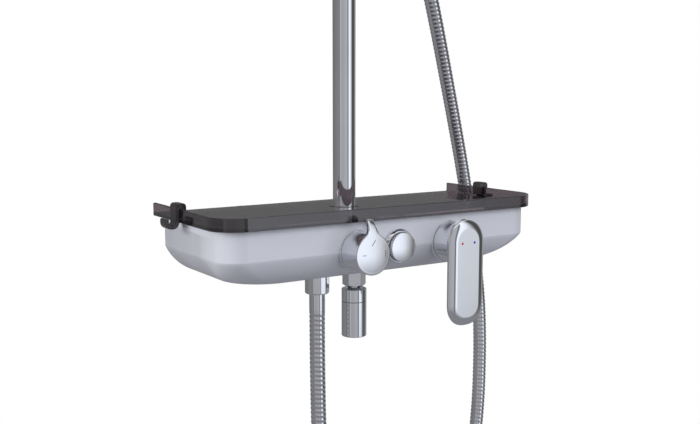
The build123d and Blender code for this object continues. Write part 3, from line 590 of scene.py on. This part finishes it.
# Outlets below the housing
def nut(sides, corner, cone, top, low, bore):
    """Many-sided nut bevelled to a cone at its lower end; cone is (upper radius, lower radius, height)."""
    step = 2 * math.pi / sides
    apothem = corner * math.cos(step / 2)
    heights = [top, low + cone[2]]
    heights += [low + cone[2] * k / 10 for k in range(9, -1, -1)]
    rings = [polar(bore, top, 240)]
    for z in heights:
        limit = cone[1] + (cone[0] - cone[1]) * (z - low) / cone[2] if z <= low + cone[2] else cone[0]

        def reach(angle, limit=limit):
            flat = apothem / math.cos((angle + step / 2) % step - step / 2)
            return min(flat, corner * 0.985, limit)

        rings.append(polar(reach, z, 240))
    rings.append(polar(bore, low, 240))
    return loft(rings, along=True)


def ball_neck(neck, centre, scale, top, steps=16):
    """Neck that widens from its socket and ends in a ball."""
    radius = 8 * scale
    start = math.acos(neck / radius)
    profile = [(neck, top)]
    for step in range(steps):
        angle = start - (start + math.pi / 2 * 0.97) * step / (steps - 1)
        profile.append((radius * math.cos(angle), centre + radius * math.sin(angle)))
    return profile


spout_nut = nut(6, 11.54, (14, 9.6, 3), NUT_TOP, -46.6, 5)
neck = lathe([(5.3, -40)] + ball_neck(5.3, SPOUT_BALL_Z, 1, -46.2), 72)
piece("spout_nut", [spout_nut, neck], "spout_adaptor", SPOUT)


def ring_profile(centre, scale):
    """Small plastic ring round the neck of a ball."""
    return [(5.4 * scale, centre + 7 * scale), (6.2 * scale, centre + 7 * scale, 0.3),
            (6.2 * scale, centre + 9 * scale, 0.3), (5.4 * scale, centre + 9 * scale)]


piece("spout_ring", lathe(ring_profile(SPOUT_BALL_Z, 1), 72, True), "spout_slip_ring", SPOUT)


def socket_cap(radius, low, high, centre, scale):
    """Round cap whose mouth holds the ball."""
    return lathe(
        [(7.2 * scale, low), (radius, low, 0.2), (radius, high, 1.1), (10.9 * scale, high, 0.2),
         (7.3 * scale, centre + 3.5 * scale, 0.3), (8.1 * scale, centre)],
        128, True,
    )


piece("spout_head", socket_cap(12.1, -61.8, -49.5, SPOUT_BALL_Z, 1), "spout_cap", SPOUT)
sleeve = lathe([(10.4, -96.6), (12.1, -96.6, 0.8), (12.1, -62.2, 0.2), (10.4, -62.2)], 128, True)
piece("spout_sleeve", sleeve, "aerator_sleeve", SPOUT)


def grille():
    """Aerator insert with concentric rings in its outlet."""
    profile = [(0.6, -85), (10.35, -85, 0.2), (10.35, -94.8, 0.6), (9.4, -95)]
    for radius in (8.6, 7.0, 5.4, 3.8, 2.2):
        profile += [(radius, -95), (radius, -93), (radius - 0.6, -93), (radius - 0.6, -95)]
    return lathe(profile + [(0.6, -95)], 96)


piece("spout_grille", grille(), "aerator_insert", SPOUT, sharp=50)


def ferrule(end, grip):
    """Crimped sleeve on the hose's end, with a groove near its rim."""
    return lathe(
        [(4, end), (HOSE_R, end, 0.3), (HOSE_R, end + 2.1, 0.1), (7.15, end + 2.4), (7.15, end + 2.8),
         (HOSE_R, end + 3.1, 0.1), (HOSE_R, grip), (4, grip)], 96, True,
    )


hose_outlet = at(HOSE_X, SPOUT_Y, 0)
low_nut = piece("hose_nut_low", nut(12, 11.9, (13, 10.6, 2.6), NUT_TOP, -49.6, 5), "hose_nut", hose_outlet)
low_ferrule = piece("hose_ferrule_low", ferrule(-69, -43), "hose_ferrule", hose_outlet)

# Riser and its bracket
riser = [(RISER_BORE, 5), (RISER_R, 5), (RISER_R, RISER_TOP, 0.3), (RISER_BORE, RISER_TOP)]
piece("riser", lathe(riser, 160, True), "riser_pipe", at(0, RISER_Y, 0))
grommet = [(11.05, 23.2), (14.3, 23.2, 0.3), (14.3, 29.2), (14.9, 29.2), (14.9, 29.5, 0.2), (12.4, 29.7, 0.5),
           (11.05, 29.6)]
piece("riser_ring", lathe(grommet, 96, True), "riser_grommet", at(0, RISER_Y, 0), material="smoked_plastic")
cover = [(9.1, 6), (9.1, 12, 0.5), (22, 12, 4), (29, 9, 3), (29, 0), (27.6, 0), (27.6, 8.2), (20, 10.5),
         (11, 10.5),
         (11, 6)]
piece("bracket_cap", lathe(cover, 128, True), "bracket_cover", from_wall(0, BRACKET_Z))
collar = [(11.05, -13), (15.3, -13, 0.6), (16.5, -11.6, 0.8), (16.5, 11.6, 0.8), (15.3, 13, 0.6), (11.05, 13)]
arm_rod = lathe([(0.5, 0), (9, 0, 0.3), (9, 62, 1), (0.5, 62)], 96)
bracket = [moved(lathe(collar, 128, True), at(0, RISER_Y, BRACKET_Z)),
           moved(arm_rod, from_wall(0, BRACKET_Z))]
piece("bracket_standoff", bracket, "bracket_arm")

# Wall connections
flare_profile = [(10.78, 0), (26.4, 0), (26.4, 2.5, 1), (21.8, 9, 2), (10.78, 9)]
hexagon = nut(6, 17.32, (19, 15.2, 2.5), 18, 0, 10.5)
connection = [(7, -14), (10.48, -14), (10.48, 25), (12.4, 25, 0.3), (12.4, 28), (7, 28)]
for name, node, shape, lift in (
    ("wall_flanges", "escutcheons", lathe(flare_profile, 128, True), 0),
    ("wall_unions", "inlet_unions", lathe(connection, 96, True), 0),
    ("wall_nuts", "union_nuts", hexagon, 22),
):
    piece(name, [moved(shape, from_wall(x, 0) @ at(0, 0, lift)) for x in (-INLET_X, INLET_X)], node)

# Slider and cup
body_profile = [(13.6, -23), (19, -23, 2), (19, 23, 2), (13.6, 23)]
boss = moved(lathe([(4.1, -27), (11, -27, 0.8), (11, -12), (4.1, -12)], 96, True), ALONG_X)
HALF_TURN = [math.pi * k / 20 for k in range(21)]
tongue_outline = [(-15, 9)] + [(-33 - 9 * math.sin(angle), 9 * math.cos(angle)) for angle in HALF_TURN]
tongue_outline.append((-15, -9))
tongue = loft([[(x, y, z) for y, z in tongue_outline] for x in (-6, 6)])
piece("slider_carriage", [lathe(body_profile, 128, True), boss, tongue], "slider_body", SLIDER, bevel=0.6)


def fluted_knob():
    """Lock knob with twelve flutes."""

    def reach(radius):
        def ring(angle):
            step = math.pi / 6
            off = abs((angle + step / 2) % step - step / 2)
            return radius - 1.15 * max(0.0, 1 - (off / 0.14) ** 2)

        return ring

    edge = rounded([(14.5, -27.4, 0), (14.5, -43, 2.5), (3, -43)], steps=8)
    rings = [polar(5, -27.4, 192), polar(14.0, -27.4, 192), polar(reach(14.5), -27.9, 192)]
    rings += [polar(reach(r), z, 192) for r, z in edge[1:-1]]
    rings += [polar(8, -43, 192), polar(7.4, -42.6, 192), polar(1, -42.4, 192)]
    return moved(loft(rings), ALONG_X)


piece("lock_knob_grip", fluted_knob(), "slider_knob", SLIDER, sharp=42)


def slotted(profile, slot, steps=72):
    """Ring with a straight-sided slot at its front."""
    rows = []
    for step in range(steps + 1):
        row = []
        for r, z in profile:
            gap = math.asin(slot / r)
            angle = -math.pi / 2 + gap + (2 * math.pi - 2 * gap) * step / steps
            row.append((r * math.cos(angle), r * math.sin(angle), z))
        rows.append(row)
    return loft(rows)


cup_profile = rounded([(13.45, -17, 0.5), (19, -17, 1.5), (19, 17, 1.5), (15.55, 17, 0.6)], True, 4)
ear_outline = [(13, 8)] + [(29.5 + 8 * math.sin(angle), 8 * math.cos(angle)) for angle in HALF_TURN]
ear_outline.append((13, -8))
ears = [loft([[(side * x, y, z) for y, z in ear_outline] for x in (6.4, 11.5)]) for side in (-1, 1)]
piece("holder", [slotted(cup_profile, 8.6), *ears], "holder_cup", CUP, bevel=0.5)
piece("holder_lining", slotted([(12, -16.5), (13.4, -16.5), (15.4, 16.5), (14, 16.5)], 8.7), "cup_liner", CUP)
pin = lathe([(0.4, -11.9), (3, -11.9, 0.5), (3, 11.9, 0.5), (0.4, 11.9)], 48)
piece("holder_axle", moved(pin, ALONG_X), "holder_pin", PIVOT)
cone = [(7.6, -44), (8.8, -44, 0.5), (11.3, -23, 1), (11.3, -19.5, 0.4), (7.6, -19.5)]
top_cone = piece("hose_cone_nut", lathe(cone, 96, True), "hose_cone", CUP)
top_sleeve = piece("hose_sleeve_top", ferrule(-60, -36), "hose_top_ferrule", CUP)


# Hand shower
def smooth_profile(knots, steps=7):
    """Smooth curve through (radius, height) knots."""
    line = []
    for i in range(len(knots) - 1):
        p0 = Vector(knots[max(i - 1, 0)])
        p1 = Vector(knots[i])
        p2 = Vector(knots[i + 1])
        p3 = Vector(knots[min(i + 2, len(knots) - 1)])
        for step in range(steps):
            t = step / steps
            p = 0.5 * (2 * p1 + (p2 - p0) * t + (2 * p0 - 5 * p1 + 4 * p2 - p3) * t**2
                       + (3 * p1 - p0 - 3 * p2 + p3) * t**3)
            line.append(tuple(p))
    return line + [tuple(knots[-1])]


def handle():
    """Slim handle that runs up behind the head; its front stops at the head's rim."""
    back = FACE.inverted() @ CUP
    profile = [(9, -19.3), (11.2, -19.3), (11.6, -18.9)]
    profile += smooth_profile([(11.7, -18), (12.7, 0), (13.6, 17), (12.4, 32), (11.7, 60), (11.5, 100),
                               (11.6, 130)])
    profile += [(11.6, 130 + 1.5 * k) for k in range(1, 17)]
    profile += [(11.3, 158), (10.6, 163), (9.2, 168), (7, 172), (4, 174.6), (1, 175.4)]
    rings = []
    for r, z in profile:
        ring = []
        for x, y, height in polar(r, z, 96):
            local = back @ Vector((x, y, height))
            if z > 128 and math.hypot(local.x, local.y) < 49.6 and local.z < -5:
                local.z = -5
            ring.append(tuple(back.inverted() @ local))
        rings.append(ring)
    return loft(rings)


dish = [(0.5, 13)] + smooth_profile([(4, 13), (20, 12), (36, 9.2), (46, 5.6), (49.3, 2.4), (50, 0.4)])
dish += [(50, -5.4), (49.6, -6), (47.2, -6), (46.9, -5.4), (46.9, 1), (0.5, 1)]
head = moved(lathe(dish, 160), CUP.inverted() @ FACE)
piece("hand_shower", [handle(), head], "handset_shell", CUP, sharp=40)
spray = [(0.5, 1.7), (46.6, 1.7), (46.6, -6.6, 0.4), (45.6, -7.4, 0.8), (41.2, -7.4, 0.3), (40.6, -6.9, 0.2),
         (40, -7.4, 0.3), (7, -7.4, 0.4), (6, -6.6, 0.3), (0.5, -6.6)]
piece("hand_shower_face", lathe(spray, 160), "handset_face", FACE)


def tips(rings, base, radius, end, height):
    """Soft spray tips in concentric rings."""
    tip = lathe(
        [(0.2, base + 0.3), (radius + 0.5, base + 0.3), (radius + 0.5, base - 0.2, 0.2), (radius, base - 0.4),
         (end, base - height, 0.3), (0.5, base - height), (0.4, base - height + 0.7)], 20,
    )
    return [
        moved(tip, at(r * math.cos(2 * math.pi * k / n), r * math.sin(2 * math.pi * k / n), 0))
        for r, n in rings for k in range(n)
    ]


spray_rings = [(10, 6), (19, 12), (28, 18), (37, 24)]
piece("hand_shower_tips", tips(spray_rings, -7.4, 1.0, 0.8, 1.9), "handset_nozzles", FACE)


# Arm and rain head
def bent(points, radii, step=8.0):
    """Points along a polyline with arcs at its inner corners."""
    line = [Vector(points[0])]
    for i, radius in enumerate(radii, 1):
        here = Vector(points[i])
        back = (Vector(points[i - 1]) - here).normalized()
        on = (Vector(points[i + 1]) - here).normalized()
        half = back.angle(on) / 2
        middle = here + (back + on).normalized() * radius / math.sin(half)
        first = here + back * radius / math.tan(half) - middle
        axis = first.cross(here - middle).normalized()
        sweep = math.pi - 2 * half
        count = max(6, round(radius * sweep / step * 2))
        for k in range(count + 1):
            line.append(middle + Matrix.Rotation(sweep * k / count, 3, axis) @ first)
    return line + [Vector(points[-1])]


def frames(line):
    """Two directions across the line at each point, carried along without twist."""
    tangents = []
    for i in range(len(line)):
        tangents.append((line[min(i + 1, len(line) - 1)] - line[max(i - 1, 0)]).normalized())
    side = tangents[0].orthogonal().normalized()
    found = []
    for tangent in tangents:
        side = (side - tangent * side.dot(tangent)).normalized()
        found.append((side, tangent.cross(side)))
    return found


def pipe(line, radius, sides=96):
    """Tube along a line; radius is a number or a function of length and angle."""
    rows = []
    done = 0.0
    for i, (point, (side, up)) in enumerate(zip(line, frames(line))):
        if i:
            done += (point - line[i - 1]).length
        row = []
        for k in range(sides):
            angle = 2 * math.pi * k / sides
            r = radius(done, angle) if callable(radius) else radius
            row.append(point + (side * math.cos(angle) + up * math.sin(angle)) * r)
        rows.append(row)
    return loft(rows)


arm_line = bent([(0, RISER_Y, 932.3), (0, RISER_Y, ARM_Z), (0, HEAD_Y, ARM_Z), (0, HEAD_Y, 1030)], [90, 45])
arm_nut = [(11.05, 912), (14.6, 912, 0.5), (15.5, 913.4, 0.8), (15.5, 942.4, 0.8), (14.6, 944, 0.6),
           (11.05, 944)]
piece("arm_collar", lathe(arm_nut, 128, True), "arm_nut", at(0, RISER_Y, 0))
piece("arm", pipe(arm_line, RISER_R), "arm_pipe")
adaptor = [(5, 1030), (12.5, 1030, 0.8), (12.5, 1014, 0.8), (6.1, 1014)]
adaptor += ball_neck(6.1, HEAD_BALL_Z, HEAD_BALL_SCALE, 1012)
piece("head_joint", lathe(adaptor, 96), "head_adaptor", HEAD)
piece("head_ring", lathe(ring_profile(HEAD_BALL_Z, HEAD_BALL_SCALE), 72, True), "head_slip_ring", HEAD)
piece("head_socket", socket_cap(15.5, 978, 1005.8, HEAD_BALL_Z, HEAD_BALL_SCALE), "head_nut", HEAD)
rain_shell = [
    (7, 978), (22, 978, 4), (60, 975.5, 60), (114, 972.5, 6), (120, 970, 2), (120, HEAD_FACE_Z, 0.3),
    (118.2, HEAD_FACE_Z), (118.2, 969), (60, 972.5), (7, 975),
]
piece("rain_disc", lathe(rain_shell, 192, True), "head_shell", HEAD, sharp=30)
sheet = [(0.5, HEAD_FACE_Z), (117.8, HEAD_FACE_Z, 0.3), (117.8, 967.6, 0.3), (0.5, 967.6)]
piece("rain_face", lathe(sheet, 192), "head_face", HEAD)
rain_rings = [(16, 6), (33, 12), (50, 18), (67, 24), (84, 30), (101, 36)]
piece("rain_tips", tips(rain_rings, HEAD_FACE_Z, 1.3, 1.1, 2.2), "head_nozzles", HEAD)


# Shower hose
HOSE_ROUTE = [
    (-42, -93, -69), (-42, -93, -155), (-37, -92, -250), (-18, -88.5, -328), (24, -81, -385), (88, -71, -407),
    (150, -60, -383), (188, -51, -320), (202.6, -44, -243), (209, -40.5, -200), (212, -37, -128),
    (209, -33, -66),
    (195, -27, 34), (160.3, -40, 132), (116, -63, 231), (74, -80.4, 320), (50, -90.4, 372),
]
TAIL_ROUTE = [
    (50, -90.4, 372), (38, -95.4, 398), (20, -103, 440), CUP @ Vector((0, 0, -106)),
    CUP @ Vector((0, 0, -60)),
]


def spline(name, route):
    """Points of a smooth curve steered by the route."""
    curve = bpy.data.curves.new(name, "CURVE")
    curve.dimensions = "3D"
    line = curve.splines.new("NURBS")
    line.points.add(len(route) - 1)
    for point, place in zip(line.points, route):
        point.co = (*(Vector(place) * MM), 1)
    line.order_u = 3
    line.use_endpoint_u = True
    curve.resolution_u = 24
    thing = bpy.data.objects.new(name, curve)
    mesh = bpy.data.meshes.new_from_object(thing)
    points = [v.co / MM for v in mesh.vertices]
    bpy.data.objects.remove(thing)
    return points


def even(line, step):
    """The line's points again at even steps."""
    total = sum((b - a).length for a, b in zip(line, line[1:]))
    count = round(total / step)
    spaced = [line[0]]
    done = 0.0
    target = total / count
    for a, b in zip(line, line[1:]):
        run = (b - a).length
        while run and done + run >= target - 1e-6 and len(spaced) < count:
            spaced.append(a + (b - a) * (target - done) / run)
            target += total / count
        done += run
    return spaced + [line[-1]], total


def ribbed(done, angle):
    """Radius of the hose's wound metal skin: one rib that winds round it."""
    turn = done / HOSE_PITCH + angle / (2 * math.pi)
    return HOSE_R - HOSE_GROOVE * math.sin(math.pi * turn) ** 2


def hose(name, node, route):
    """One length of hose along its route; its CAD node is hidden."""
    line, total = even(spline(name + "_line", route), HOSE_PITCH / 8)
    thing = piece(name, pipe(line, ribbed, 32), material="hose_metal", sharp=60)
    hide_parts(node)
    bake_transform(thing)


hose("hose", "shower_hose", HOSE_ROUTE)
hose("hose_top", "shower_hose_tail", TAIL_ROUTE)


# Studio
def area_light(name, place, target, size, power):
    """Soft light aimed at a point, which the object's gloss doesn't mirror."""
    light = bpy.data.lights.new(name, "AREA")
    light.shape = "RECTANGLE"
    light.size, light.size_y = size
    light.energy = power
    lamp = bpy.data.objects.new(name, light)
    lamp.location = place
    lamp.rotation_euler = (Vector(target) - Vector(place)).to_track_quat("-Z", "Y").to_euler()
    lamp.visible_glossy = False
    lamp.visible_camera = False
    bpy.context.scene.collection.objects.link(lamp)


area_light("key", (0, -2.1, 1.2), (0, -0.1, 0), (1.6, 1.2), 14.5)
area_light("side", (-1.9, 0.3, 0.35), (-0.1, -0.1, 0), (1.2, 1.0), 22)
area_light("fill", (1.6, -1.2, 0.8), (0, -0.1, 0), (1.2, 1.2), 4)

world = bpy.data.worlds.new("studio")
bpy.context.scene.world = world
world.use_nodes = True
sky = world.node_tree
direction = sky.nodes.new("ShaderNodeTexCoord")
split = sky.nodes.new("ShaderNodeSeparateXYZ")
sky.links.new(direction.outputs["Generated"], split.inputs["Vector"])


def height_step(low, high):
    """Smooth step over the height that a ray heads for."""
    step = sky.nodes.new("ShaderNodeMapRange")
    step.interpolation_type = "SMOOTHSTEP"
    step.inputs["From Min"].default_value = low
    step.inputs["From Max"].default_value = high
    sky.links.new(split.outputs["Z"], step.inputs["Value"])
    return step.outputs["Result"]


def blended(factor, first, second):
    """Mix two colours, each a socket or a plain colour."""
    mix = sky.nodes.new("ShaderNodeMix")
    mix.data_type = "RGBA"
    sky.links.new(factor, mix.inputs["Factor"])
    for side, colour in (("A", first), ("B", second)):
        if isinstance(colour, tuple):
            mix.inputs[side].default_value = colour
        else:
            sky.links.new(colour, mix.inputs[side])
    return mix.outputs["Result"]


# The studio's light and dark panels, as (bearing in degrees, brightness)
PANELS = [
    (-180, 0.24), (-164, 0.22), (-159, 0.62), (-154, 0.44), (-143, 0.38), (-120, 0.42), (-97, 0.48),
    (-90, 0.46),
    (-86, 0.17), (-78, 0.22), (-74, 1.15), (-64, 1.15), (-55, 1.0), (-49, 0.72), (-43, 0.4), (-36, 0.09),
    (-6, 0.07), (6, 0.34), (30, 0.34), (44, 0.15), (80, 0.15), (120, 0.19), (180, 0.24),
]
CEILING = (0.9, 0.9, 0.92, 1)
GROUND = (0.24, 0.24, 0.26, 1)
bearing = sky.nodes.new("ShaderNodeMath")
bearing.operation = "ARCTAN2"
sky.links.new(split.outputs["Y"], bearing.inputs[0])
sky.links.new(split.outputs["X"], bearing.inputs[1])
turn = sky.nodes.new("ShaderNodeMapRange")
turn.inputs["From Min"].default_value = -math.pi
turn.inputs["From Max"].default_value = math.pi
sky.links.new(bearing.outputs["Value"], turn.inputs["Value"])
tones = [((a + 180) / 360, (v * (1 - 0.12 * v), v * (1 - 0.08 * v), v)) for a, v in PANELS]
walls = ramp(sky, turn.outputs["Result"], tones)
raised = blended(height_step(0.7, 0.97), walls, CEILING)
soft = sky.nodes["Background"]
sky.links.new(blended(height_step(-0.5, -0.15), GROUND, raised), soft.inputs["Color"])
paper = sky.nodes.new("ShaderNodeBackground")
paper.inputs["Color"].default_value = (1, 1, 1, 1)
rays = sky.nodes.new("ShaderNodeLightPath")
straight = sky.nodes.new("ShaderNodeMath")
straight.operation = "MAXIMUM"
sky.links.new(rays.outputs["Is Camera Ray"], straight.inputs[0])
sky.links.new(rays.outputs["Is Transmission Ray"], straight.inputs[1])
both = sky.nodes.new("ShaderNodeMixShader")
sky.links.new(straight.outputs["Value"], both.inputs["Fac"])
sky.links.new(soft.outputs["Background"], both.inputs[1])
sky.links.new(paper.outputs["Background"], both.inputs[2])
sky.links.new(both.outputs["Shader"], sky.nodes["World Output"].inputs["Surface"])

floor_shape = lathe([(0.5, -436), (690, -436), (690, -440), (0.5, -440)], 96)
floor = piece("floor", floor_shape, None, at(20, -200, 0), material="white_plastic")
floor.visible_diffuse = False
floor.visible_glossy = False

camera = bpy.data.objects.new("camera", bpy.data.cameras.new("camera"))
camera.location = (-0.4943, -0.8384, 0.1399)
camera.rotation_euler = (math.radians(82.66), 0, math.radians(-33.3))
camera.data.lens = 48.21
camera.data.clip_start = 0.01
bpy.context.scene.collection.objects.link(camera)
bpy.context.scene.camera = camera
bpy.context.scene.view_settings.view_transform = "Standard"
